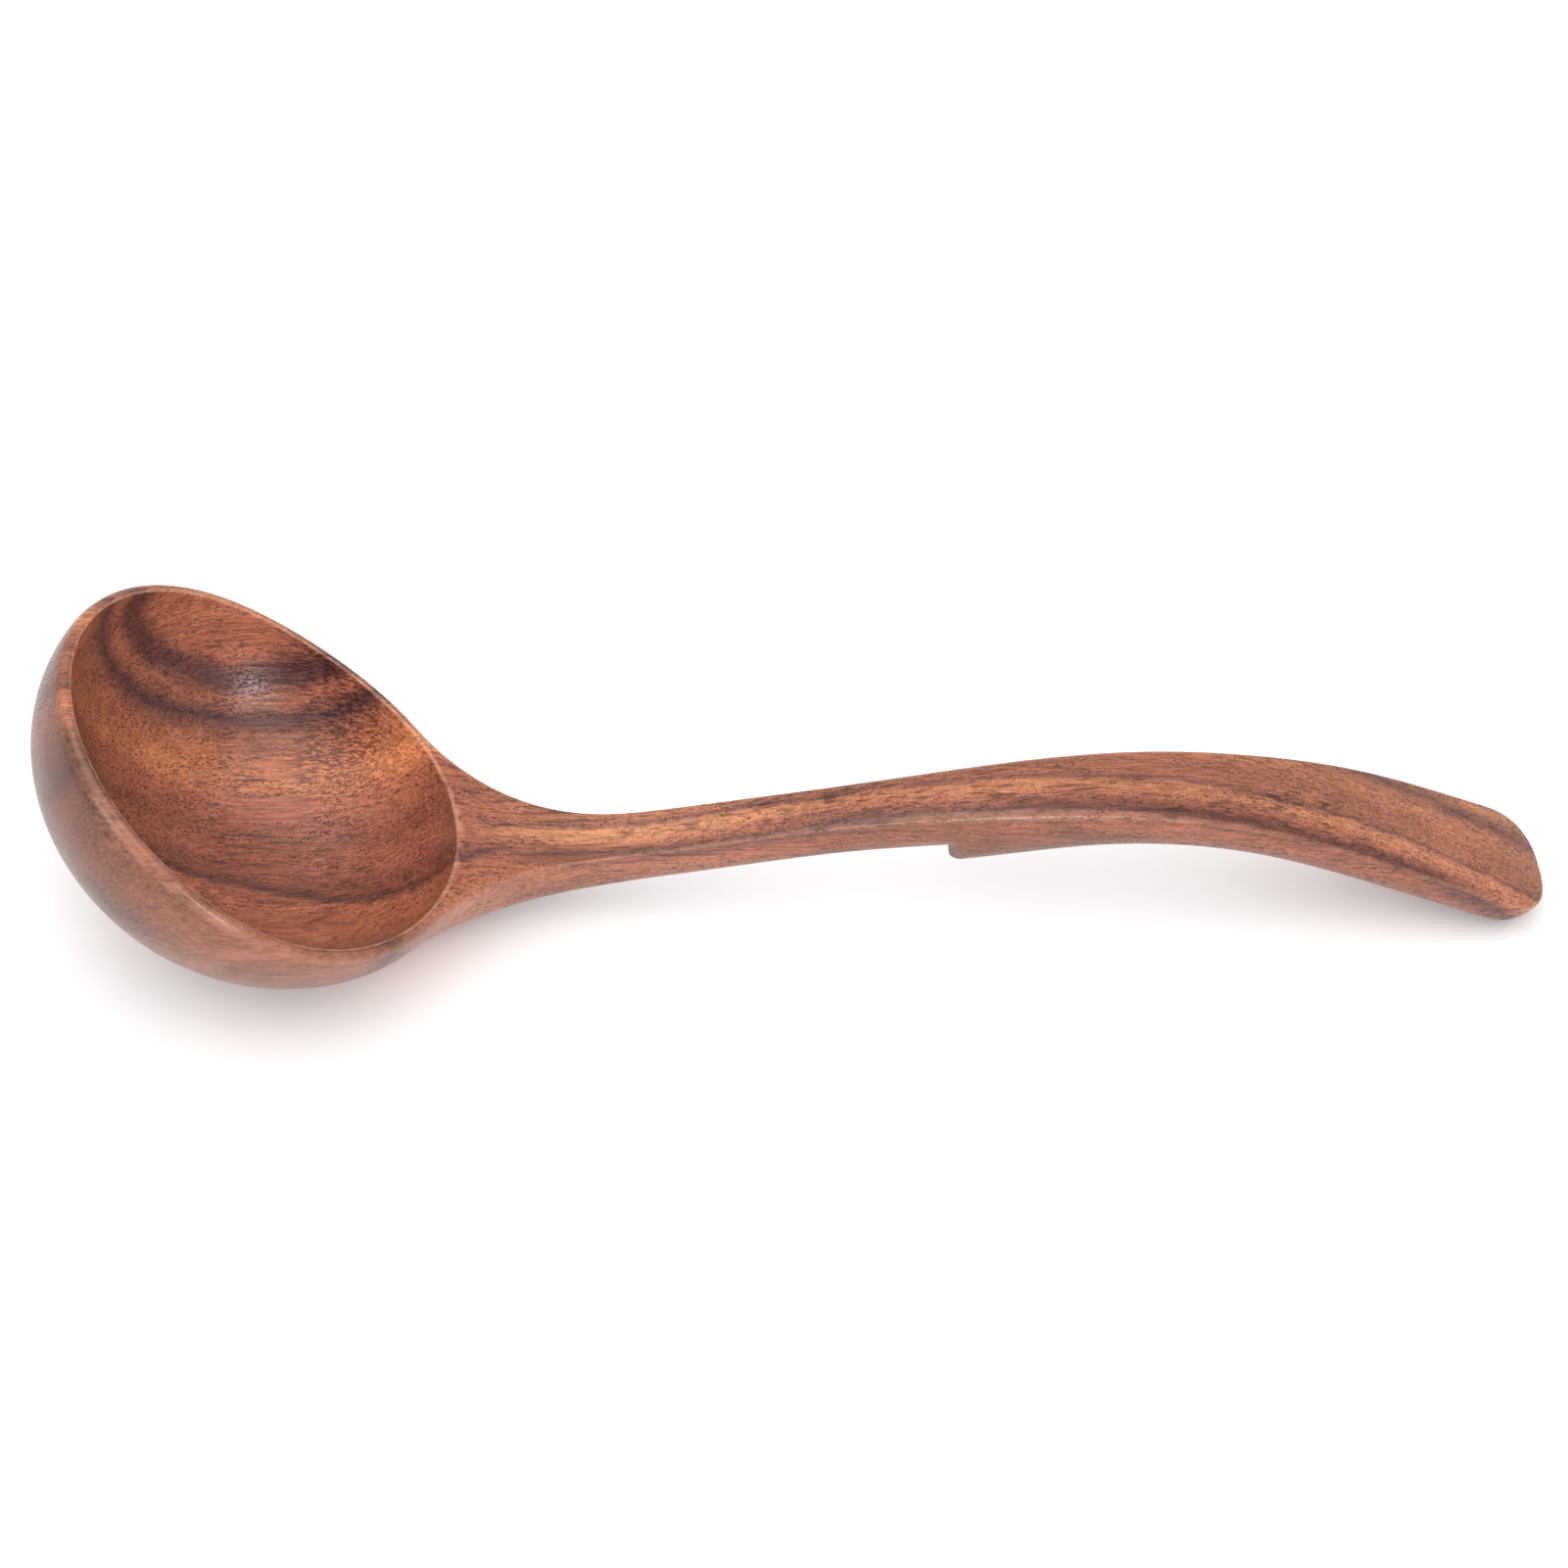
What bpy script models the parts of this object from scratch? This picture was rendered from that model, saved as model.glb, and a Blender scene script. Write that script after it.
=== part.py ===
"""Carved wooden soup ladle: one piece of acacia, round bowl, curved handle with a pot-rim hook.

The ladle lies the way it rests on a table: +Z up, +X toward the handle end, mirror plane y = 0,
the bowl and the handle end both touching z = 0.  Lengths below are in millimetres.
"""
import math

import bmesh
import bpy
import numpy as np

MM = 0.001

# Bowl
BOWL_HALF_WIDTH = 42.5
BOWL_HALF_LENGTH = 45.8
BOWL_DEPTH = 38.3
RIM_WALL = 2.3
FLOOR_WALL = 3.6

# Handle, by distance along its top line from the bowl axis
LENGTH = 273.9
NECK = 83.0
NECK_HALF_WIDTH = 5.5
FILLET_START = 36.5
GUSSET_TURN = 54.0
HOOK = 141.3
HOOK_HEIGHT = 5.6
NOSE = 4.6
NOSE_FLAT = 0.22
NOSE_DEPTH = 8.0
NOSE_RUN = 26.0
END_RADIUS = 11.2
END_SQUARENESS = 2.5

# Heading of the top line in degrees above the rim plane: the handle climbs, then levels out
HEADING_AT = (-44.0, 0.0, 40.0, 60.0, 80.0, 105.0, 135.0, 165.0, 200.0, 235.0, LENGTH)
HEADING = (0.0, 0.0, 18.2, 29.5, 43.2, 45.8, 42.8, 37.5, 23.6, 12.3, 9.5)

# Half width, depth and squareness of the handle's section
WIDTH_AT = (NECK, 121.5, 160.0, 198.5, 237.0, LENGTH)
WIDTH = (NECK_HALF_WIDTH, 5.6, 7.9, 9.9, 12.6, 13.2)
DEPTH_AT = (60.0, 85.0, 115.0, 145.0, 175.0, 205.0, 235.0, LENGTH)
DEPTH = (14.5, 11.4, 11.8, 12.5, 11.2, 11.0, 11.5, 11.2)
SQUARE_AT = (0.0, FILLET_START, 60.0, 85.0, 140.0, 200.0, LENGTH)
SQUARE = (2.0, 2.2, 2.9, 2.65, 2.55, 2.2, 2.6)
KEEL_FROM = 26.0

# Soft edges: radius along the top edge, crown of the handle's top face
EDGE_AT = (0.0, FILLET_START, 60.0, 100.0, 150.0, 200.0, LENGTH)
EDGE = (2.8, 2.4, 0.8, 0.8, 2.0, 1.0, 0.6)
CROWN = 0.8
CROWN_FULL = 150.0
CAVITY_EDGE = 0.6
HOOK_EDGE = 0.8

# Mesh steps
FAN_STEPS = 13
RIM_STEPS = 6
GUSSET_STEPS = 5
THROAT_STEPS = 6
SHANK_STEPS = 9
GRIP_STEPS = 16
END_STEPS = 9
TOP_ROWS = 2
EDGE_ROWS = 3
SIDE_ROWS = 12
CAVITY_ROWS = 11


def hermite(u, p0, m0, p1, m1):
    """Cubic from p0 to p1 with end slopes m0 and m1."""
    a = (2 * u**3 - 3 * u**2 + 1) * p0 + (u**3 - 2 * u**2 + u) * m0
    return a + (3 * u**2 - 2 * u**3) * p1 + (u**3 - u**2) * m1


def curve(stations, values, s):
    """Smooth curve through values given at stations."""
    xs = np.array(stations)
    ys = np.array(values)
    slope = np.gradient(ys, xs)
    i = np.clip(np.searchsorted(xs, s) - 1, 0, len(xs) - 2)
    h = xs[i + 1] - xs[i]
    u = np.clip((s - xs[i]) / h, 0.0, 1.0)
    return hermite(u, ys[i], h * slope[i], ys[i + 1], h * slope[i + 1])


class TopLine:
    """The centre line of the top face, found by following its heading from the bowl axis."""

    def __init__(self):
        self.s = np.arange(-50.0, LENGTH + 1.0, 0.25)
        heading = np.radians(curve(HEADING_AT, HEADING, self.s))
        step = np.diff(self.s)
        cx = (np.cos(heading[1:]) + np.cos(heading[:-1])) / 2 * step
        cz = (np.sin(heading[1:]) + np.sin(heading[:-1])) / 2 * step
        self.x = np.concatenate([[0.0], np.cumsum(cx)])
        self.z = np.concatenate([[0.0], np.cumsum(cz)])
        axis = int(np.argmin(np.abs(self.s)))
        self.x -= self.x[axis]
        self.z -= self.z[axis]
        self.heading = heading

    def point(self, s, y=0.0, lift=0.0):
        """Point of the top face at distance s along and y across, lifted along its normal."""
        a = np.interp(s, self.s, self.heading)
        x = np.interp(s, self.s, self.x) - lift * math.sin(a)
        z = np.interp(s, self.s, self.z) + lift * math.cos(a)
        return np.array([x, y, z])

    def under(self, s, depth):
        """Point on the keel, depth below the top line."""
        return self.point(s, 0.0, -depth)


def bowl_width(s):
    return BOWL_HALF_WIDTH * math.sqrt(max(0.0, 1.0 - (s / BOWL_HALF_LENGTH) ** 2))


def bowl_depth(s):
    return BOWL_DEPTH * math.sqrt(max(0.0, 1.0 - (s / BOWL_HALF_LENGTH) ** 2))


def half_width(s):
    """Half width of the outline: the rim's ellipse, a fillet into the neck, then the handle."""
    if s <= FILLET_START:
        return bowl_width(s)
    if s < NECK:
        span = NECK - FILLET_START
        start = bowl_width(FILLET_START)
        slope = -(BOWL_HALF_WIDTH / BOWL_HALF_LENGTH) ** 2 * FILLET_START / start
        u = (s - FILLET_START) / span
        return hermite(u, start, slope * span, NECK_HALF_WIDTH, 0.0)
    return float(curve(WIDTH_AT, WIDTH, s))


def keel_depth(s):
    """Depth of the keel below the top line, without the hook."""
    if s <= KEEL_FROM:
        return bowl_depth(s)
    first = DEPTH_AT[0]
    second = DEPTH_AT[1]
    mid_slope = (DEPTH[1] - bowl_depth(KEEL_FROM)) / (second - KEEL_FROM) * 0.9
    if s < first:
        start = bowl_depth(KEEL_FROM)
        slope = -(BOWL_DEPTH / BOWL_HALF_LENGTH) ** 2 * KEEL_FROM / start
        span = first - KEEL_FROM
        u = (s - KEEL_FROM) / span
        return hermite(u, start, slope * span, DEPTH[0], mid_slope * span)
    if s < second:
        span = second - first
        return hermite((s - first) / span, DEPTH[0], mid_slope * span, DEPTH[1], 0.0)
    return float(curve(DEPTH_AT[1:], DEPTH[1:], s))


def crown(s):
    """Rise of the top face's middle over its edges: flat at the bowl, rounded on the handle."""
    u = min(1.0, max(0.0, (s - NECK) / (CROWN_FULL - NECK)))
    return CROWN * u * u * (3 - 2 * u)


def hook_depth(s):
    """Extra depth of the hook's keel, running out toward the handle end."""
    return HOOK_HEIGHT * max(0.0, (LENGTH - s) / (LENGTH - HOOK)) ** 1.5


def bend(start, corner, end, count):
    """Points of the soft edge from start to end round the corner, both ends included."""
    out = []
    for k in range(count + 1):
        u = k / count
        out.append((1 - u) ** 2 * start + 2 * u * (1 - u) * corner + u**2 * end)
    return out


def side(centre, edge, keel, squareness, radius):
    """Superellipse from the top edge down to the keel, starting radius below the edge."""
    depth = np.linalg.norm(keel - centre)
    first = math.asin((min(radius, 0.5 * depth) / depth) ** (squareness / 2))
    out = []
    for t in np.linspace(first, math.pi / 2, SIDE_ROWS + 1):
        across = max(0.0, math.cos(t)) ** (2 / squareness)
        down = math.sin(t) ** (2 / squareness)
        out.append(centre + across * (edge - centre) + down * (keel - centre))
    return out


def column(line, inner, outer, rib, radius, rise=0.0):
    """One strip of points from the inner boundary, over the top edge, down to the keel.

    inner and outer are (distance along, distance across) on the top face, rise is how far its
    middle stands over its edge, rib = (centre, keel, squareness) of the section below the edge.
    """
    reach = math.hypot(outer[0] - inner[0], outer[1] - inner[1])
    stop = 1.0 - min(radius, 0.95 * reach) / reach
    points = []
    for u in np.linspace(0.0, stop, TOP_ROWS + 1):
        s = inner[0] + (outer[0] - inner[0]) * u
        y = inner[1] + (outer[1] - inner[1]) * u
        points.append(line.point(s, y, rise * (1 - u**2)))
    edge = line.point(outer[0], outer[1])
    flank = side(rib[0], edge, rib[1], rib[2], radius)
    points += bend(points[-1], edge, flank[0], EDGE_ROWS)[1:-1]
    return points + flank


def nose(line, strip, s):
    """Round the hook's front in plan: beyond its flat middle, its sides stand back."""
    slope = np.interp(s, line.s, line.heading)
    along = np.array([math.cos(slope), 0.0, math.sin(slope)])
    up = np.array([-math.sin(slope), 0.0, math.cos(slope)])
    fade = max(0.0, 1.0 - (s - HOOK) / NOSE_RUN) ** 2
    out = []
    for p in strip:
        depth = min(1.0, max(0.0, -float(np.dot(p - line.point(s), up)) / NOSE_DEPTH))
        aside = max(0.0, p[1] / half_width(HOOK) - NOSE_FLAT) / (1.0 - NOSE_FLAT)
        out.append(p + NOSE * fade * depth * aside**1.2 * along)
    return out


def skin_columns(line):
    """All strips of the outside, bowl front to handle end, with the rim angle of the first ones."""
    inner_width = BOWL_HALF_WIDTH - RIM_WALL
    inner_length = BOWL_HALF_LENGTH * inner_width / BOWL_HALF_WIDTH
    land_width = inner_width + CAVITY_EDGE
    land_length = inner_length + CAVITY_EDGE
    origin = line.point(0.0)
    bottom = line.under(0.0, BOWL_DEPTH)
    columns = []
    angles = []

    def land(angle):
        return land_length * math.cos(angle), land_width * math.sin(angle)

    for angle in np.linspace(math.pi, math.pi / 2, FAN_STEPS + 1):
        outer = (BOWL_HALF_LENGTH * math.cos(angle), BOWL_HALF_WIDTH * math.sin(angle))
        columns.append(column(line, land(angle), outer, (origin, bottom, 2.0), EDGE[0]))
        angles.append(angle)

    def station(s, inner, hooked=0.0):
        centre = line.point(s)
        keel = line.under(s, keel_depth(s) + hooked)
        squareness = float(curve(SQUARE_AT, SQUARE, s))
        radius = float(curve(EDGE_AT, EDGE, s))
        strip = column(line, inner, (s, half_width(s)), (centre, keel, squareness), radius, crown(s))
        return nose(line, strip, s) if hooked > 0.0 else strip

    fillet_angle = math.acos(FILLET_START / BOWL_HALF_LENGTH)
    for angle in np.linspace(math.pi / 2, fillet_angle, RIM_STEPS + 1)[1:]:
        columns.append(station(BOWL_HALF_LENGTH * math.cos(angle), land(angle)))
        angles.append(angle)
    for u in np.linspace(0.0, 1.0, GUSSET_STEPS + 1)[1:]:
        angle = fillet_angle * (1 - u)
        columns.append(station(FILLET_START + (GUSSET_TURN - FILLET_START) * u, land(angle)))
        angles.append(angle)
    for u in np.linspace(0.0, 1.0, THROAT_STEPS + 1)[1:]:
        s = GUSSET_TURN + (NECK - GUSSET_TURN) * u
        columns.append(station(s, (land_length + (NECK - land_length) * u, 0.0)))
    for s in np.linspace(NECK, HOOK, SHANK_STEPS + 1)[1:]:
        columns.append(station(s, (s, 0.0)))

    full = hook_depth(HOOK)
    columns.append(station(HOOK, (HOOK, 0.0), full - HOOK_EDGE))
    columns.append(station(HOOK + 0.3 * HOOK_EDGE, (HOOK + 0.3 * HOOK_EDGE, 0.0), full - 0.3 * HOOK_EDGE))
    start = HOOK + HOOK_EDGE
    last = LENGTH - END_RADIUS
    for s in np.linspace(start, last, GRIP_STEPS + 1):
        columns.append(station(s, (s, 0.0), hook_depth(s)))

    centre = line.point(last)
    keel = line.under(last, keel_depth(last) + hook_depth(last))
    squareness = float(curve(SQUARE_AT, SQUARE, last))
    radius = float(curve(EDGE_AT, EDGE, last))
    width = half_width(last)
    for angle in np.linspace(math.pi / 2, 0.0, END_STEPS + 1)[1:]:
        along = max(0.0, math.cos(angle)) ** (2 / END_SQUARENESS) * END_RADIUS
        across = max(0.0, math.sin(angle)) ** (2 / END_SQUARENESS) * width
        outer = (last + along, across)
        columns.append(column(line, (last, 0.0), outer, (centre, keel, squareness), radius, crown(last)))
    return columns, angles


def cavity_columns(line, angles):
    """Strips of the hollow, from the rim's inner edge down to its floor."""
    inner_width = BOWL_HALF_WIDTH - RIM_WALL
    inner_length = BOWL_HALF_LENGTH * inner_width / BOWL_HALF_WIDTH
    origin = line.point(0.0)
    floor = line.under(0.0, BOWL_DEPTH - FLOOR_WALL)
    columns = []
    for angle in angles:
        c = math.cos(angle)
        s = math.sin(angle)
        start = line.point((inner_length + CAVITY_EDGE) * c, (inner_width + CAVITY_EDGE) * s)
        corner = line.point(inner_length * c, inner_width * s)
        first = math.asin(CAVITY_EDGE / np.linalg.norm(floor))
        wall = []
        for t in np.linspace(first, math.pi / 2, CAVITY_ROWS + 1):
            wall.append(origin + math.cos(t) * (corner - origin) + math.sin(t) * (floor - origin))
        columns.append(bend(start, corner, wall[0], EDGE_ROWS)[:-1] + wall)
    return columns


def add_grid(mesh, columns, flip):
    """Faces between neighbouring strips."""
    verts = [[mesh.verts.new(p * MM) for p in strip] for strip in columns]
    for a, b in zip(verts[:-1], verts[1:]):
        for k in range(len(a) - 1):
            ring = (a[k], a[k + 1], b[k + 1], b[k])
            mesh.faces.new(ring[::-1] if flip else ring)


def lowest_gap(points, lean):
    """Height of the bowl's lowest point over the handle's, with the ladle leaned back."""
    z = points[:, 2] * math.cos(lean) - points[:, 0] * math.sin(lean)
    bowl = points[:, 0] < NECK * MM
    return z[bowl].min() - z[~bowl].min()


def rest_on_table(mesh):
    """Lean the ladle until bowl and handle end touch the table, then centre it over the origin."""
    points = np.array([v.co[:] for v in mesh.verts])
    low = math.radians(15.0)
    high = math.radians(50.0)
    for _ in range(40):
        lean = (low + high) / 2
        if lowest_gap(points, lean) < 0.0:
            low = lean
        else:
            high = lean
    c = math.cos(lean)
    s = math.sin(lean)
    x = points[:, 0] * c + points[:, 2] * s
    z = points[:, 2] * c - points[:, 0] * s
    x -= (x.min() + x.max()) / 2
    z -= z.min()
    for v, new_x, new_z in zip(mesh.verts, x, z):
        v.co.x = new_x
        v.co.z = new_z


def build_ladle():
    line = TopLine()
    skin, angles = skin_columns(line)
    mesh = bmesh.new()
    add_grid(mesh, skin, True)
    add_grid(mesh, cavity_columns(line, angles), False)
    bmesh.ops.remove_doubles(mesh, verts=mesh.verts, dist=0.00001)
    rest_on_table(mesh)
    data = bpy.data.meshes.new("ladle")
    mesh.to_mesh(data)
    mesh.free()
    ladle = bpy.data.objects.new("ladle", data)
    mirror = ladle.modifiers.new("Mirror", "MIRROR")
    mirror.use_axis = (False, True, False)
    mirror.merge_threshold = 0.00001
    return ladle


def wood():
    material = bpy.data.materials.new("acacia_wood")
    material.use_nodes = True
    shader = material.node_tree.nodes["Principled BSDF"]
    shader.inputs["Base Color"].default_value = (0.30, 0.11, 0.055, 1.0)
    shader.inputs["Roughness"].default_value = 0.45
    shader.inputs["Metallic"].default_value = 0.0
    return material


def main():
    for item in list(bpy.data.objects):
        bpy.data.objects.remove(item)
    parts = bpy.data.collections.new("acacia_ladle")
    bpy.context.scene.collection.children.link(parts)
    ladle = build_ladle()
    parts.objects.link(ladle)
    ladle.data.materials.append(wood())
    ladle.data.shade_smooth()
    ladle.data.set_sharp_from_angle(angle=math.radians(40.0))


main()
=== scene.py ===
"""Looks of the carved acacia soup ladle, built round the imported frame.

The visible ladle repeats the design of the CAD solid with a far finer mesh, and gets an oiled,
banded wood.  The ladle's lengths are in millimetres until a point becomes a vertex, and those of
the lights and the camera are in metres.
"""

import math

import bmesh
import bpy
import numpy as np
from mathutils import Matrix, Vector


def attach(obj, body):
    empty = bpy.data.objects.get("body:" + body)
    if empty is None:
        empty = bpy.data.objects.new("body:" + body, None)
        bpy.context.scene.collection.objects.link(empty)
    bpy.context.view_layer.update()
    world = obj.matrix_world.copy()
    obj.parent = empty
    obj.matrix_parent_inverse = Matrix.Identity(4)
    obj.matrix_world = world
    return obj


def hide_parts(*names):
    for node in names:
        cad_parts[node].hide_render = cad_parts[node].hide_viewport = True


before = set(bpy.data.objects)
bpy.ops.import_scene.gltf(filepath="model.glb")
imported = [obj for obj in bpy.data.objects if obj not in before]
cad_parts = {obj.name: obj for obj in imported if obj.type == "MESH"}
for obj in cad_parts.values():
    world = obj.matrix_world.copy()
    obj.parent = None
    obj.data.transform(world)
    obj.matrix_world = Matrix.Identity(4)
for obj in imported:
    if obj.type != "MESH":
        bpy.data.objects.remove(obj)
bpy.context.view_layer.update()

MM = 0.001
MERGE = 0.00001
SHARP_EDGE = math.radians(50.0)
LEAN_LIMITS = (math.radians(15.0), math.radians(50.0))
LEAN_HALVINGS = 40

# Bowl
BOWL_HALF_WIDTH = 42.5
BOWL_HALF_LENGTH = 45.8
BOWL_DEPTH = 38.3
RIM_WALL = 2.3
FLOOR_WALL = 3.6
CAVITY_HALF_WIDTH = BOWL_HALF_WIDTH - RIM_WALL
CAVITY_HALF_LENGTH = BOWL_HALF_LENGTH * CAVITY_HALF_WIDTH / BOWL_HALF_WIDTH

# Handle, by distance along its top line from the bowl axis
LENGTH = 273.9
NECK = 83.0
NECK_HALF_WIDTH = 5.5
FILLET_START = 36.5
GUSSET_TURN = 54.0
HOOK = 141.3
HOOK_HEIGHT = 5.6
HOOK_TAPER = 1.5
NOSE = 4.6
NOSE_FLAT = 0.22
NOSE_DEPTH = 8.0
NOSE_RUN = 26.0
NOSE_POWER = 1.2
END_RADIUS = 11.2
END_SQUARENESS = 2.5

# Heading of the top line in degrees above the rim plane: the handle climbs, then levels out
HEADING_AT = (-44.0, 0.0, 40.0, 60.0, 80.0, 105.0, 135.0, 165.0, 200.0, 235.0, LENGTH)
HEADING = (0.0, 0.0, 18.2, 29.5, 43.2, 45.8, 42.8, 37.5, 23.6, 12.3, 9.5)

# Half width, depth and squareness of the handle's section
WIDTH_AT = (NECK, 121.5, 160.0, 198.5, 237.0, LENGTH)
WIDTH = (NECK_HALF_WIDTH, 5.6, 7.9, 9.9, 12.6, 13.2)
DEPTH_AT = (60.0, 85.0, 115.0, 145.0, 175.0, 205.0, 235.0, LENGTH)
DEPTH = (14.5, 11.4, 11.8, 12.5, 11.2, 11.0, 11.5, 11.2)
SQUARE_AT = (0.0, FILLET_START, 60.0, 85.0, 140.0, 200.0, LENGTH)
SQUARE = (2.0, 2.2, 2.9, 2.65, 2.55, 2.2, 2.6)
KEEL_FROM = 26.0
KEEL_EASE = 0.9

# Soft edges: radius along the top edge, crown of the handle's top face
EDGE_AT = (0.0, FILLET_START, 60.0, 100.0, 150.0, 200.0, LENGTH)
EDGE = (2.8, 2.4, 0.8, 0.8, 2.0, 1.0, 0.6)
CROWN = 0.8
CROWN_FULL = 150.0
CAVITY_EDGE = 0.6
HOOK_EDGE = 0.8

# Mesh steps
LINE_START = -50.0
LINE_STEP = 0.25
FAN_STEPS = 64
RIM_STEPS = 26
GUSSET_STEPS = 22
THROAT_STEPS = 30
SHANK_STEPS = 50
GRIP_STEPS = 100
END_STEPS = 28
TOP_ROWS = 8
EDGE_ROWS = 6
SIDE_ROWS = 44
CAVITY_ROWS = 60

# How pale the soft edges are: partly rubbed wood, partly a painted highlight along the rims and
# the handle's top edges
RIM_WEAR_AND_HIGHLIGHT = 1.0
EDGE_WEAR_AND_HIGHLIGHT = 0.4


def hermite(u, p0, m0, p1, m1):
    """Cubic from p0 to p1 with end slopes m0 and m1."""
    a = (2 * u**3 - 3 * u**2 + 1) * p0 + (u**3 - 2 * u**2 + u) * m0
    return a + (3 * u**2 - 2 * u**3) * p1 + (u**3 - u**2) * m1


def curve(stations, values, s):
    """Smooth curve through values given at stations."""
    xs = np.array(stations)
    ys = np.array(values)
    slope = np.gradient(ys, xs)
    i = np.clip(np.searchsorted(xs, s) - 1, 0, len(xs) - 2)
    h = xs[i + 1] - xs[i]
    u = np.clip((s - xs[i]) / h, 0.0, 1.0)
    return hermite(u, ys[i], h * slope[i], ys[i + 1], h * slope[i + 1])


class TopLine:
    """The centre line of the top face, found by following its heading from the bowl axis."""

    def __init__(self):
        self.s = np.arange(LINE_START, LENGTH + 1.0, LINE_STEP)
        heading = np.radians(curve(HEADING_AT, HEADING, self.s))
        step = np.diff(self.s)
        cx = (np.cos(heading[1:]) + np.cos(heading[:-1])) / 2 * step
        cz = (np.sin(heading[1:]) + np.sin(heading[:-1])) / 2 * step
        self.x = np.concatenate([[0.0], np.cumsum(cx)])
        self.z = np.concatenate([[0.0], np.cumsum(cz)])
        axis = int(np.argmin(np.abs(self.s)))
        self.x -= self.x[axis]
        self.z -= self.z[axis]
        self.heading = heading

    def point(self, s, y=0.0, lift=0.0):
        """Point of the top face at distance s along and y across, lifted along its normal."""
        a = np.interp(s, self.s, self.heading)
        x = np.interp(s, self.s, self.x) - lift * math.sin(a)
        z = np.interp(s, self.s, self.z) + lift * math.cos(a)
        return np.array([x, y, z])

    def under(self, s, depth):
        """Point on the keel, depth below the top line."""
        return self.point(s, 0.0, -depth)


def bowl_width(s):
    return BOWL_HALF_WIDTH * math.sqrt(max(0.0, 1.0 - (s / BOWL_HALF_LENGTH) ** 2))


def bowl_depth(s):
    return BOWL_DEPTH * math.sqrt(max(0.0, 1.0 - (s / BOWL_HALF_LENGTH) ** 2))


def half_width(s):
    """Half width of the outline: the rim's ellipse, a fillet into the neck, then the handle."""
    if s <= FILLET_START:
        return bowl_width(s)
    if s < NECK:
        span = NECK - FILLET_START
        start = bowl_width(FILLET_START)
        slope = -(BOWL_HALF_WIDTH / BOWL_HALF_LENGTH) ** 2 * FILLET_START / start
        u = (s - FILLET_START) / span
        return hermite(u, start, slope * span, NECK_HALF_WIDTH, 0.0)
    return float(curve(WIDTH_AT, WIDTH, s))


def keel_depth(s):
    """Depth of the keel below the top line, without the hook."""
    if s <= KEEL_FROM:
        return bowl_depth(s)
    first = DEPTH_AT[0]
    second = DEPTH_AT[1]
    mid_slope = (DEPTH[1] - bowl_depth(KEEL_FROM)) / (second - KEEL_FROM) * KEEL_EASE
    if s < first:
        start = bowl_depth(KEEL_FROM)
        slope = -(BOWL_DEPTH / BOWL_HALF_LENGTH) ** 2 * KEEL_FROM / start
        span = first - KEEL_FROM
        u = (s - KEEL_FROM) / span
        return hermite(u, start, slope * span, DEPTH[0], mid_slope * span)
    if s < second:
        span = second - first
        return hermite((s - first) / span, DEPTH[0], mid_slope * span, DEPTH[1], 0.0)
    return float(curve(DEPTH_AT[1:], DEPTH[1:], s))


def crown(s):
    """Rise of the top face's middle over its edges: flat at the bowl, rounded on the handle."""
    u = min(1.0, max(0.0, (s - NECK) / (CROWN_FULL - NECK)))
    return CROWN * u * u * (3 - 2 * u)


def hook_depth(s):
    """Extra depth of the hook's keel, running out toward the handle end."""
    return HOOK_HEIGHT * max(0.0, (LENGTH - s) / (LENGTH - HOOK)) ** HOOK_TAPER


def bend(start, corner, end, count):
    """Points of the soft edge from start to end round the corner, both ends included."""
    out = []
    for k in range(count + 1):
        u = k / count
        out.append((1 - u) ** 2 * start + 2 * u * (1 - u) * corner + u**2 * end)
    return out


def side(centre, edge, keel, squareness, radius):
    """Superellipse from the top edge down to the keel, starting radius below the edge."""
    depth = np.linalg.norm(keel - centre)
    first = math.asin((min(radius, 0.5 * depth) / depth) ** (squareness / 2))
    out = []
    for t in np.linspace(first, math.pi / 2, SIDE_ROWS + 1):
        across = max(0.0, math.cos(t)) ** (2 / squareness)
        down = math.sin(t) ** (2 / squareness)
        out.append(centre + across * (edge - centre) + down * (keel - centre))
    return out


def column(line, inner, outer, rib, radius, rise=0.0):
    """One strip of points from the inner boundary, over the top edge, down to the keel.

    inner and outer are (distance along, distance across) on the top face, rise is how far its
    middle stands over its edge, rib = (centre, keel, squareness) of the section below the edge.
    """
    reach = math.hypot(outer[0] - inner[0], outer[1] - inner[1])
    stop = 1.0 - min(radius, 0.95 * reach) / reach
    points = []
    for u in np.linspace(0.0, stop, TOP_ROWS + 1):
        s = inner[0] + (outer[0] - inner[0]) * u
        y = inner[1] + (outer[1] - inner[1]) * u
        points.append(line.point(s, y, rise * (1 - u**2)))
    edge = line.point(outer[0], outer[1])
    flank = side(rib[0], edge, rib[1], rib[2], radius)
    points += bend(points[-1], edge, flank[0], EDGE_ROWS)[1:-1]
    return points + flank


def nose(line, strip, s):
    """Round the hook's front in plan: beyond its flat middle, its sides stand back."""
    slope = np.interp(s, line.s, line.heading)
    along = np.array([math.cos(slope), 0.0, math.sin(slope)])
    up = np.array([-math.sin(slope), 0.0, math.cos(slope)])
    fade = max(0.0, 1.0 - (s - HOOK) / NOSE_RUN) ** 2
    out = []
    for p in strip:
        depth = min(1.0, max(0.0, -float(np.dot(p - line.point(s), up)) / NOSE_DEPTH))
        aside = max(0.0, p[1] / half_width(HOOK) - NOSE_FLAT) / (1.0 - NOSE_FLAT)
        out.append(p + NOSE * fade * depth * aside**NOSE_POWER * along)
    return out


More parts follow.
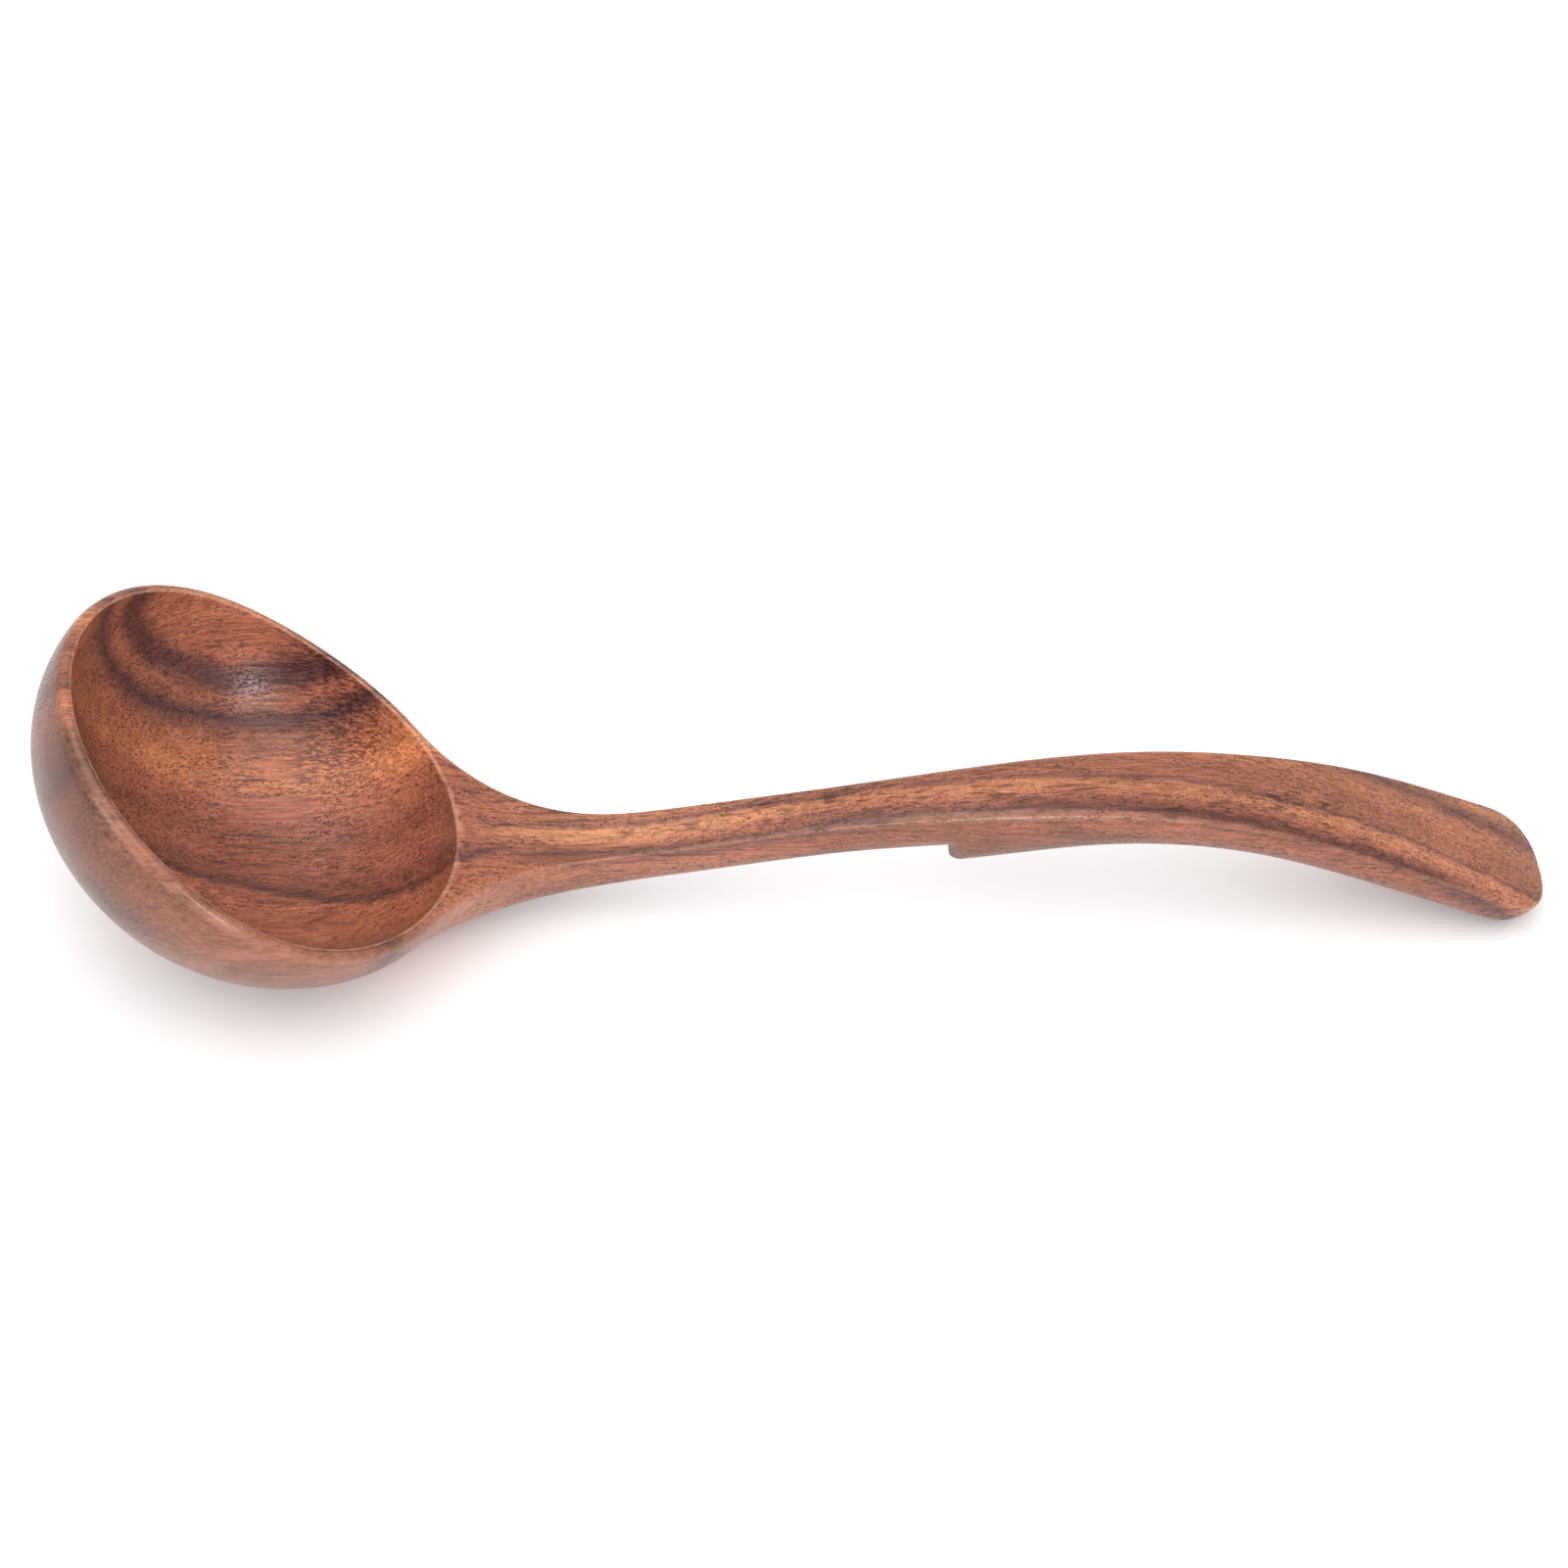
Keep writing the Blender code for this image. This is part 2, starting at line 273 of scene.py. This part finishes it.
def skin_columns(line):
    """Strips of the outside, bowl front to handle end, and the rim angles of the first ones."""
    land_width = CAVITY_HALF_WIDTH + CAVITY_EDGE
    land_length = CAVITY_HALF_LENGTH + CAVITY_EDGE
    origin = line.point(0.0)
    bottom = line.under(0.0, BOWL_DEPTH)
    columns = []
    angles = []

    def land(angle):
        return land_length * math.cos(angle), land_width * math.sin(angle)

    for angle in np.linspace(math.pi, math.pi / 2, FAN_STEPS + 1):
        outer = (BOWL_HALF_LENGTH * math.cos(angle), BOWL_HALF_WIDTH * math.sin(angle))
        columns.append(column(line, land(angle), outer, (origin, bottom, 2.0), EDGE[0]))
        angles.append(angle)

    def station(s, inner, hooked=0.0):
        centre = line.point(s)
        keel = line.under(s, keel_depth(s) + hooked)
        squareness = float(curve(SQUARE_AT, SQUARE, s))
        radius = float(curve(EDGE_AT, EDGE, s))
        rib = (centre, keel, squareness)
        strip = column(line, inner, (s, half_width(s)), rib, radius, crown(s))
        return nose(line, strip, s) if hooked > 0.0 else strip

    fillet_angle = math.acos(FILLET_START / BOWL_HALF_LENGTH)
    for angle in np.linspace(math.pi / 2, fillet_angle, RIM_STEPS + 1)[1:]:
        columns.append(station(BOWL_HALF_LENGTH * math.cos(angle), land(angle)))
        angles.append(angle)
    for u in np.linspace(0.0, 1.0, GUSSET_STEPS + 1)[1:]:
        angle = fillet_angle * (1 - u)
        columns.append(station(FILLET_START + (GUSSET_TURN - FILLET_START) * u, land(angle)))
        angles.append(angle)
    for u in np.linspace(0.0, 1.0, THROAT_STEPS + 1)[1:]:
        s = GUSSET_TURN + (NECK - GUSSET_TURN) * u
        columns.append(station(s, (land_length + (NECK - land_length) * u, 0.0)))
    for s in np.linspace(NECK, HOOK, SHANK_STEPS + 1)[1:]:
        columns.append(station(s, (s, 0.0)))

    full = hook_depth(HOOK)
    corner = 0.3 * HOOK_EDGE
    columns.append(station(HOOK, (HOOK, 0.0), full - HOOK_EDGE))
    columns.append(station(HOOK + corner, (HOOK + corner, 0.0), full - corner))
    start = HOOK + HOOK_EDGE
    last = LENGTH - END_RADIUS
    for s in np.linspace(start, last, GRIP_STEPS + 1):
        columns.append(station(s, (s, 0.0), hook_depth(s)))

    centre = line.point(last)
    keel = line.under(last, keel_depth(last) + hook_depth(last))
    rib = (centre, keel, float(curve(SQUARE_AT, SQUARE, last)))
    radius = float(curve(EDGE_AT, EDGE, last))
    width = half_width(last)
    for angle in np.linspace(math.pi / 2, 0.0, END_STEPS + 1)[1:]:
        along = max(0.0, math.cos(angle)) ** (2 / END_SQUARENESS) * END_RADIUS
        across = max(0.0, math.sin(angle)) ** (2 / END_SQUARENESS) * width
        outer = (last + along, across)
        columns.append(column(line, (last, 0.0), outer, rib, radius, crown(last)))
    return columns, angles


def cavity_columns(line, angles):
    """Strips of the hollow, from the rim's inner edge down to its floor."""
    origin = line.point(0.0)
    floor = line.under(0.0, BOWL_DEPTH - FLOOR_WALL)
    columns = []
    for angle in angles:
        c = math.cos(angle)
        s = math.sin(angle)
        start = line.point(
            (CAVITY_HALF_LENGTH + CAVITY_EDGE) * c, (CAVITY_HALF_WIDTH + CAVITY_EDGE) * s
        )
        corner = line.point(CAVITY_HALF_LENGTH * c, CAVITY_HALF_WIDTH * s)
        first = math.asin(CAVITY_EDGE / np.linalg.norm(floor))
        wall = []
        for t in np.linspace(first, math.pi / 2, CAVITY_ROWS + 1):
            wall.append(origin + math.cos(t) * (corner - origin) + math.sin(t) * (floor - origin))
        columns.append(bend(start, corner, wall[0], EDGE_ROWS)[:-1] + wall)
    return columns


def add_grid(mesh, columns, flip, worn_and_highlit):
    """Faces between neighbouring strips; the last argument gives how pale some rows of every strip
    are, partly rubbed wood, partly a painted highlight.
    """
    edge_paleness = mesh.verts.layers.float["edge_wear_and_highlight"]
    verts = [[mesh.verts.new(p * MM) for p in strip] for strip in columns]
    for strip in verts:
        for row, amount in worn_and_highlit.items():
            strip[row][edge_paleness] = amount
    for a, b in zip(verts[:-1], verts[1:]):
        for k in range(len(a) - 1):
            ring = (a[k], a[k + 1], b[k + 1], b[k])
            mesh.faces.new(ring[::-1] if flip else ring)


def lowest_gap(points, lean):
    """Height of the bowl's lowest point over the handle's, with the ladle leaned back."""
    z = points[:, 2] * math.cos(lean) - points[:, 0] * math.sin(lean)
    bowl = points[:, 0] < NECK * MM
    return z[bowl].min() - z[~bowl].min()


def rest_on_table(mesh):
    """Lean the ladle until bowl and handle end touch the table, then centre it over the origin."""
    points = np.array([v.co[:] for v in mesh.verts])
    low, high = LEAN_LIMITS
    for _ in range(LEAN_HALVINGS):
        lean = (low + high) / 2
        if lowest_gap(points, lean) < 0.0:
            low = lean
        else:
            high = lean
    c = math.cos(lean)
    s = math.sin(lean)
    x = points[:, 0] * c + points[:, 2] * s
    z = points[:, 2] * c - points[:, 0] * s
    x -= (x.min() + x.max()) / 2
    z -= z.min()
    for v, new_x, new_z in zip(mesh.verts, x, z):
        v.co.x = new_x
        v.co.z = new_z


def build_ladle():
    line = TopLine()
    skin, angles = skin_columns(line)
    mesh = bmesh.new()
    mesh.verts.layers.float.new("edge_wear_and_highlight")
    # Rows made paler at the soft edges: partly rubbed wood, partly a painted highlight
    edge = {TOP_ROWS + k: EDGE_WEAR_AND_HIGHLIGHT for k in range(1, EDGE_ROWS)}
    rim = {k: RIM_WEAR_AND_HIGHLIGHT for k in range(EDGE_ROWS - 1)}
    add_grid(mesh, skin, True, edge)
    add_grid(mesh, cavity_columns(line, angles), False, rim)
    bmesh.ops.remove_doubles(mesh, verts=mesh.verts, dist=MERGE)
    rest_on_table(mesh)
    data = bpy.data.meshes.new("ladle_wood")
    mesh.to_mesh(data)
    mesh.free()
    ladle = bpy.data.objects.new("ladle_wood", data)
    bpy.context.scene.collection.objects.link(ladle)
    mirror = ladle.modifiers.new("Mirror", "MIRROR")
    mirror.use_axis = (False, True, False)
    mirror.merge_threshold = MERGE
    data.shade_smooth()
    data.set_sharp_from_angle(angle=SHARP_EDGE)
    return ladle


class Graph:
    """Short calls for wiring a material's nodes; every call returns an output socket."""

    def __init__(self, material):
        self.tree = material.node_tree

    def node(self, kind, inputs, output=0, **settings):
        node = self.tree.nodes.new(kind)
        for name, value in settings.items():
            setattr(node, name, value)
        for key, value in inputs.items():
            self.feed(node.inputs[key], value)
        return node.outputs[output]

    def feed(self, socket, value):
        if isinstance(value, bpy.types.NodeSocket):
            self.tree.links.new(value, socket)
        else:
            socket.default_value = value

    def math(self, operation, *values):
        return self.node("ShaderNodeMath", dict(enumerate(values)), operation=operation)

    def vector(self, operation, *values):
        return self.node("ShaderNodeVectorMath", dict(enumerate(values)), operation=operation)

    def split(self, vector):
        """The three parts of a vector."""
        return self.node("ShaderNodeSeparateXYZ", {0: vector}).node.outputs

    def product(self, first, *factors):
        """first times each factor."""
        for factor in factors:
            first = self.math("MULTIPLY", first, factor)
        return first

    def weighted(self, first, *pairs):
        """first plus each socket times its weight."""
        for socket, weight in pairs:
            first = self.math("MULTIPLY_ADD", socket, weight, first)
        return first

    def above(self, socket, level):
        """How far socket is over level, and zero below it."""
        return self.math("MAXIMUM", self.math("SUBTRACT", socket, level), 0.0)

    def step(self, socket, low, high, start=0.0, end=1.0):
        """Smooth change from start to end as socket goes from low to high."""
        values = {0: socket, 1: low, 2: high, 3: start, 4: end}
        return self.node("ShaderNodeMapRange", values, interpolation_type="SMOOTHSTEP")

    def peak(self, socket, centre, width):
        """One at centre, falling smoothly to zero at width to either side."""
        distance = self.math("ABSOLUTE", self.math("SUBTRACT", socket, centre))
        return self.step(distance, 0.0, width, 1.0, 0.0)

    def noise(self, place, name):
        """One of NOISES, centred on zero."""
        along, across, detail, shift = NOISES[name]
        stretched = self.vector("MULTIPLY", place, (along, across, across))
        moved = self.vector("ADD", stretched, (shift, shift, shift))
        values = {"Vector": moved, "Scale": 1.0, "Detail": detail, "Roughness": 0.55}
        return self.math("SUBTRACT", self.node("ShaderNodeTexNoise", values), 0.5)

    def spots(self, place, along, across, size):
        """One inside scattered long cells, zero between them."""
        stretched = self.vector("MULTIPLY", place, (along, across, across))
        distance = self.node("ShaderNodeTexVoronoi", {"Vector": stretched, "Scale": 1.0})
        return self.step(distance, size, size * 0.45)

    def ramp(self, socket, stops):
        """Colours at given heights of socket, from the first stop to the last."""
        low = stops[0][0]
        high = stops[-1][0]
        fraction = self.node("ShaderNodeMapRange", {0: socket, 1: low, 2: high})
        node = self.tree.nodes.new("ShaderNodeValToRGB")
        self.feed(node.inputs[0], fraction)
        node.color_ramp.interpolation = "LINEAR"
        bar = node.color_ramp.elements
        bar.remove(bar[1])
        bar[0].position = 0.0
        bar[0].color = (*stops[0][1], 1.0)
        for height, colour in stops[1:]:
            bar.new((height - low) / (high - low)).color = (*colour, 1.0)
        return node.outputs[0]

    def mix(self, factor, a, b, blend="MIX"):
        """Colour a changed toward b by factor."""
        node = self.tree.nodes.new("ShaderNodeMix")
        node.data_type = "RGBA"
        node.blend_type = blend
        self.feed(node.inputs[0], factor)
        self.feed(node.inputs[6], a)
        self.feed(node.inputs[7], b)
        return node.outputs[2]


# Growth layers: colour of the wood by height across the layers, in millimetres
BOWL_LAYERS = (
    (-50.0, (0.18, 0.062, 0.036)),
    (-38.0, (0.19, 0.065, 0.036)),
    (-32.0, (0.20, 0.066, 0.037)),
    (-27.0, (0.17, 0.055, 0.032)),
    (-24.8, (0.11, 0.038, 0.026)),
    (-23.8, (0.05, 0.022, 0.018)),
    (-22.4, (0.12, 0.040, 0.028)),
    (-18.0, (0.20, 0.072, 0.046)),
    (-13.0, (0.33, 0.110, 0.058)),
    (-9.0, (0.38, 0.124, 0.062)),
    (-5.0, (0.36, 0.112, 0.058)),
    (-4.2, (0.20, 0.066, 0.043)),
    (-3.4, (0.11, 0.036, 0.030)),
    (-2.4, (0.22, 0.068, 0.044)),
    (0.5, (0.25, 0.076, 0.046)),
    (3.5, (0.32, 0.098, 0.053)),
    (7.0, (0.30, 0.092, 0.050)),
    (9.0, (0.25, 0.076, 0.043)),
    (12.0, (0.32, 0.096, 0.052)),
    (18.0, (0.41, 0.125, 0.062)),
    (20.0, (0.54, 0.180, 0.078)),
    (22.0, (0.57, 0.200, 0.084)),
    (25.5, (0.49, 0.160, 0.070)),
    (28.5, (0.40, 0.135, 0.066)),
    (31.0, (0.20, 0.070, 0.048)),
    (32.5, (0.09, 0.036, 0.033)),
    (34.0, (0.24, 0.082, 0.052)),
    (35.5, (0.34, 0.115, 0.064)),
    (37.0, (0.13, 0.046, 0.037)),
    (38.6, (0.10, 0.038, 0.034)),
    (40.5, (0.36, 0.120, 0.066)),
    (50.0, (0.52, 0.190, 0.100)),
)
HANDLE_LAYERS = (
    (-25.0, (0.16, 0.050, 0.027)),
    (-12.0, (0.18, 0.056, 0.029)),
    (-8.5, (0.26, 0.082, 0.041)),
    (-6.5, (0.15, 0.049, 0.032)),
    (-4.8, (0.12, 0.041, 0.030)),
    (-3.0, (0.26, 0.086, 0.049)),
    (-1.2, (0.39, 0.143, 0.074)),
    (0.6, (0.46, 0.179, 0.086)),
    (1.7, (0.39, 0.143, 0.074)),
    (2.6, (0.19, 0.069, 0.047)),
    (3.8, (0.30, 0.106, 0.057)),
    (8.0, (0.32, 0.111, 0.058)),
    (12.5, (0.40, 0.145, 0.069)),
    (15.0, (0.33, 0.114, 0.060)),
    (17.2, (0.16, 0.056, 0.037)),
    (18.6, (0.27, 0.095, 0.053)),
    (21.0, (0.42, 0.154, 0.072)),
    (30.0, (0.37, 0.132, 0.065)),
)


# Noises: cells per millimetre along and across the plank, detail, shift of the pattern
NOISES = {
    "wander": (0.03, 0.06, 2.0, 5.0),
    "ripple": (0.12, 0.5, 3.0, 17.0),
    "mottle": (0.05, 0.16, 4.0, 31.0),
    "blotch": (0.045, 0.07, 2.0, 37.0),
    "streaks": (0.09, 1.7, 4.0, 43.0),
    "fibres": (0.7, 7.0, 3.0, 59.0),
    "crowding": (0.04, 0.45, 3.0, 71.0),
    "pale_edge_patches": (0.25, 0.5, 3.0, 83.0),
    "flames": (0.07, 1.15, 3.0, 97.0),
    "flame_fields": (0.02, 0.08, 2.0, 113.0),
    "ropes": (0.03, 2.1, 1.0, 127.0),
}

# Places along the ladle, in millimetres from its middle
FAN_CENTRE = -110.0
FRONT_FROM = -105.0
DIP_FROM = -98.0
BOWL_TO_HANDLE = (-76.0, -50.0)
THROAT = -38.0
THROAT_REACH = 45.0
SWEEP_FROM = 20.0
HOOK_FACE = 29.5
HOOK_FACE_REACH = 5.0

# Height of the handle's top face, as a cubic of the distance along
HANDLE_TOP = (-9.2e-6, -7.4e-4, 0.18, 27.9)

# Colours that cover or tint the growth layers
END_GRAIN = (0.15, 0.062, 0.044, 1.0)
HOOK_CUT = (0.13, 0.075, 0.062, 1.0)
PORE_TINT = (0.26, 0.22, 0.28, 1.0)
# Paler colour of the soft edges: partly rubbed wood, partly a painted highlight
RUBBED_AND_HIGHLIT = (0.55, 0.27, 0.16, 1.0)

SPECULAR = 0.36
ROUGHNESS = 0.27
BUMP = {"Strength": 0.55, "Distance": 0.00012}

# Outputs of the nodes that give a point's place, its normal and an attribute's value
OBJECT_PLACE = 3
NORMAL = 1
ATTRIBUTE_VALUE = 2


def bowl_height(g, x, y, z):
    """Height across the growth layers in the bowl, where they fan out and dip to the throat."""
    fan = g.product(g.math("SUBTRACT", x, FAN_CENTRE), g.weighted(0.22, (y, -0.005)))
    back = g.above(x, DIP_FROM)
    front = g.math("MAXIMUM", g.math("SUBTRACT", FRONT_FROM, x), 0.0)
    far_front = g.product(g.step(y, 8.0, 24.0), front)
    dip = g.product(back, back)
    lean = (g.math("SUBTRACT", z, 20.0), 0.12)
    return g.weighted(y, (fan, 1.0), lean, (dip, -0.009), (far_front, 0.12))


def handle_height(g, x, y, z):
    """Height across the growth layers in the handle, where they sweep sideways to the end."""
    top = HANDLE_TOP[0]
    for term in HANDLE_TOP[1:]:
        top = g.math("MULTIPLY_ADD", x, top, term)
    depth = g.math("MAXIMUM", g.math("SUBTRACT", top, z), 0.0)
    grip = g.above(x, SWEEP_FROM)
    return g.weighted(y, (g.product(grip, grip), 7.2e-4), (depth, -0.8))


def flame_mask(g, place, bent, x, y, open_grain):
    """Dark flames in patches of the wood, and rope-like lines on the bowl's steep far wall."""
    far_wall = g.product(g.step(y, 14.0, 24.0), g.step(x, -112.0, -98.0), g.step(x, -78.0, -86.0))
    field = g.step(g.noise(place, "flame_fields"), -0.15, 0.15)
    field = g.product(g.math("MAXIMUM", field, far_wall), open_grain)
    flames = g.step(g.noise(bent, "flames"), 0.02, 0.16)
    ropes = g.product(g.step(g.noise(bent, "ropes"), -0.02, 0.06), far_wall)
    return g.product(g.math("MAXIMUM", flames, ropes), field)


def pore_mask(g, place, bent, open_grain):
    """Open pores: long narrow cells and shorter ones, thickest in some layers."""
    crowd = g.product(g.step(g.noise(place, "crowding"), -0.2, 0.1, 0.1, 1.0), open_grain)
    long_pores = g.spots(bent, 0.26, 1.7, 0.36)
    short_pores = g.spots(g.vector("ADD", bent, (40.0, 7.0, 3.0)), 1.0, 2.6, 0.42)
    return g.product(g.math("MAXIMUM", long_pores, short_pores), crowd)


def acacia():
    """Oiled acacia: layered colour, streaks and open pores along the plank, darker end grain."""
    material = bpy.data.materials.new("acacia_wood")
    material.use_nodes = True
    g = Graph(material)
    shader = material.node_tree.nodes["Principled BSDF"]
    metres = g.node("ShaderNodeTexCoord", {}, OBJECT_PLACE)
    place = g.vector("MULTIPLY", metres, (1.0 / MM, 1.0 / MM, 1.0 / MM))
    x, y, z = g.split(place)
    facing = g.split(g.node("ShaderNodeNewGeometry", {}, NORMAL))[0]

    # Growth layers
    ripple = g.product(g.noise(place, "ripple"), 1.7)
    drift = g.weighted(ripple, (g.noise(place, "wander"), 3.4))
    height = bowl_height(g, x, y, z)
    bowl = g.ramp(g.math("ADD", height, drift), BOWL_LAYERS)
    handle = g.ramp(g.math("ADD", handle_height(g, x, y, z), drift), HANDLE_LAYERS)
    in_handle = g.step(x, *BOWL_TO_HANDLE)
    colour = g.mix(in_handle, bowl, handle)

    # Light and dark figure: the bowl's near outer wall is smooth and blotchy; the throat is made
    # brighter and paler, and the bowl's front face darker with painted shade
    open_grain = g.math("MAXIMUM", g.step(height, -20.0, -9.0, 0.25, 1.0), in_handle)
    mottle = g.noise(place, "mottle")
    streaks = g.noise(place, "streaks")
    fibres = g.noise(place, "fibres")
    blotch = g.product(g.noise(place, "blotch"), g.math("SUBTRACT", 1.0, open_grain))
    throat = g.peak(x, THROAT, THROAT_REACH)
    # Painted shade: the outside of the bowl's front, facing away along the ladle, is darkened
    front_painted_shade = g.product(g.step(facing, -0.25, -0.75), g.step(x, -112.0, -130.0))
    shade = g.weighted(1.0, (mottle, 0.9), (streaks, 1.9), (fibres, 1.9))
    shade = g.weighted(shade, (throat, 0.28), (blotch, 2.2), (front_painted_shade, -0.34))
    pale = g.weighted(shade, (throat, 0.16))
    shade_colour = g.node("ShaderNodeCombineColor", {0: shade, 1: pale, 2: pale})
    colour = g.mix(1.0, colour, shade_colour, "MULTIPLY")

    # End grain, and the cut face of the hook
    end_grain = g.step(g.math("ABSOLUTE", facing), 0.6, 0.97)
    colour = g.mix(g.product(end_grain, 0.62), colour, END_GRAIN)
    cut = g.product(g.peak(x, HOOK_FACE, HOOK_FACE_REACH), g.step(facing, -0.35, -0.7))
    colour = g.mix(g.step(cut, 0.05, 0.4, 0.0, 0.85), colour, HOOK_CUT)

    # Pores and flames
    sway = g.node("ShaderNodeCombineXYZ", {1: g.product(ripple, 0.6)})
    bent = g.vector("ADD", place, sway)
    pores = pore_mask(g, place, bent, open_grain)
    flames = flame_mask(g, place, bent, x, y, open_grain)
    dark = g.mix(1.0, colour, PORE_TINT, "MULTIPLY")
    covered = g.math("MAXIMUM", g.product(pores, 0.95), g.product(flames, 0.85))
    colour = g.mix(covered, colour, dark)

    # Paler soft edges: partly rubbed wood, partly a painted highlight along the rim and top edges
    edge_paleness = g.node("ShaderNodeAttribute", {}, ATTRIBUTE_VALUE, attribute_name="edge_wear_and_highlight")
    worn_and_highlit = g.product(edge_paleness, g.step(g.noise(place, "pale_edge_patches"), -0.3, 0.25))
    colour = g.mix(g.product(worn_and_highlit, 0.6), colour, RUBBED_AND_HIGHLIT)

    g.feed(shader.inputs["Base Color"], colour)
    shader.inputs["Specular IOR Level"].default_value = SPECULAR
    rough = g.weighted(ROUGHNESS, (mottle, 0.25), (fibres, 0.2), (pores, 0.2))
    g.feed(shader.inputs["Roughness"], rough)
    relief = g.weighted(0.0, (fibres, 0.35), (streaks, 0.2), (pores, -1.0))
    g.feed(shader.inputs["Normal"], g.node("ShaderNodeBump", {**BUMP, "Height": relief}))
    return material


def plain(name, colour, roughness):
    """A material of one colour and roughness."""
    material = bpy.data.materials.new(name)
    material.use_nodes = True
    shader = material.node_tree.nodes["Principled BSDF"]
    shader.inputs["Base Color"].default_value = (*colour, 1.0)
    shader.inputs["Roughness"].default_value = roughness
    return material


def build_floor():
    bpy.ops.mesh.primitive_plane_add(size=6.0)
    floor = bpy.context.object
    floor.name = "floor"
    floor.data.materials.append(plain("floor_paper", (0.93, 0.93, 0.93), 0.9))


def area_light(name, place, target, size, power):
    """A rectangular lamp at place that shines toward target."""
    data = bpy.data.lights.new(name, "AREA")
    data.shape = "RECTANGLE"
    data.size = size[0]
    data.size_y = size[1]
    data.energy = power
    light = bpy.data.objects.new(name, data)
    bpy.context.scene.collection.objects.link(light)
    light.location = place
    light.rotation_euler = (Vector(target) - Vector(place)).to_track_quat("-Z", "Y").to_euler()


def build_light():
    """Soft studio light: a bright tent, a broad lamp overhead and two windows in front."""
    world = bpy.data.worlds.new("studio")
    world.use_nodes = True
    background = world.node_tree.nodes["Background"]
    background.inputs["Color"].default_value = (1.0, 1.0, 1.0, 1.0)
    background.inputs["Strength"].default_value = 0.66
    bpy.context.scene.world = world
    area_light("overhead", (-0.25, -0.25, 1.3), (0.0, 0.0, 0.03), (1.9, 1.7), 20.0)
    area_light("front_window", (0.09, -1.12, 0.30), (-0.11, 0.0, 0.04), (0.18, 0.36), 6.5)
    area_light("left_window", (-1.05, -0.62, 0.30), (-0.11, 0.0, 0.04), (0.35, 0.35), 2.8)


def build_camera():
    """The camera looks down on the near side from the left, rolled a little."""
    azimuth = math.radians(-13.65)
    elevation = math.radians(49.0)
    roll = math.radians(9.93)
    distance = 0.917
    aim = Vector((-0.0071, 0.0017, 0.0340))
    flat = math.cos(elevation)
    back = Vector((math.sin(azimuth) * flat, -math.cos(azimuth) * flat, math.sin(elevation)))
    level = Vector((math.cos(azimuth), math.sin(azimuth), 0.0))
    rise = back.cross(level)
    right = level * math.cos(roll) + rise * math.sin(roll)
    up = rise * math.cos(roll) - level * math.sin(roll)
    data = bpy.data.cameras.new("camera")
    data.sensor_width = 36.0
    data.lens = 107.2
    camera = bpy.data.objects.new("camera", data)
    bpy.context.scene.collection.objects.link(camera)
    place = aim + back * distance
    camera.matrix_world = Matrix(
        [
            (right.x, up.x, back.x, place.x),
            (right.y, up.y, back.y, place.y),
            (right.z, up.z, back.z, place.z),
            (0.0, 0.0, 0.0, 1.0),
        ]
    )
    bpy.context.scene.camera = camera


bpy.context.scene.view_settings.view_transform = "Standard"
ladle = build_ladle()
ladle.data.materials.append(acacia())
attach(ladle, "root")
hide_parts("ladle")
build_floor()
build_light()
build_camera()
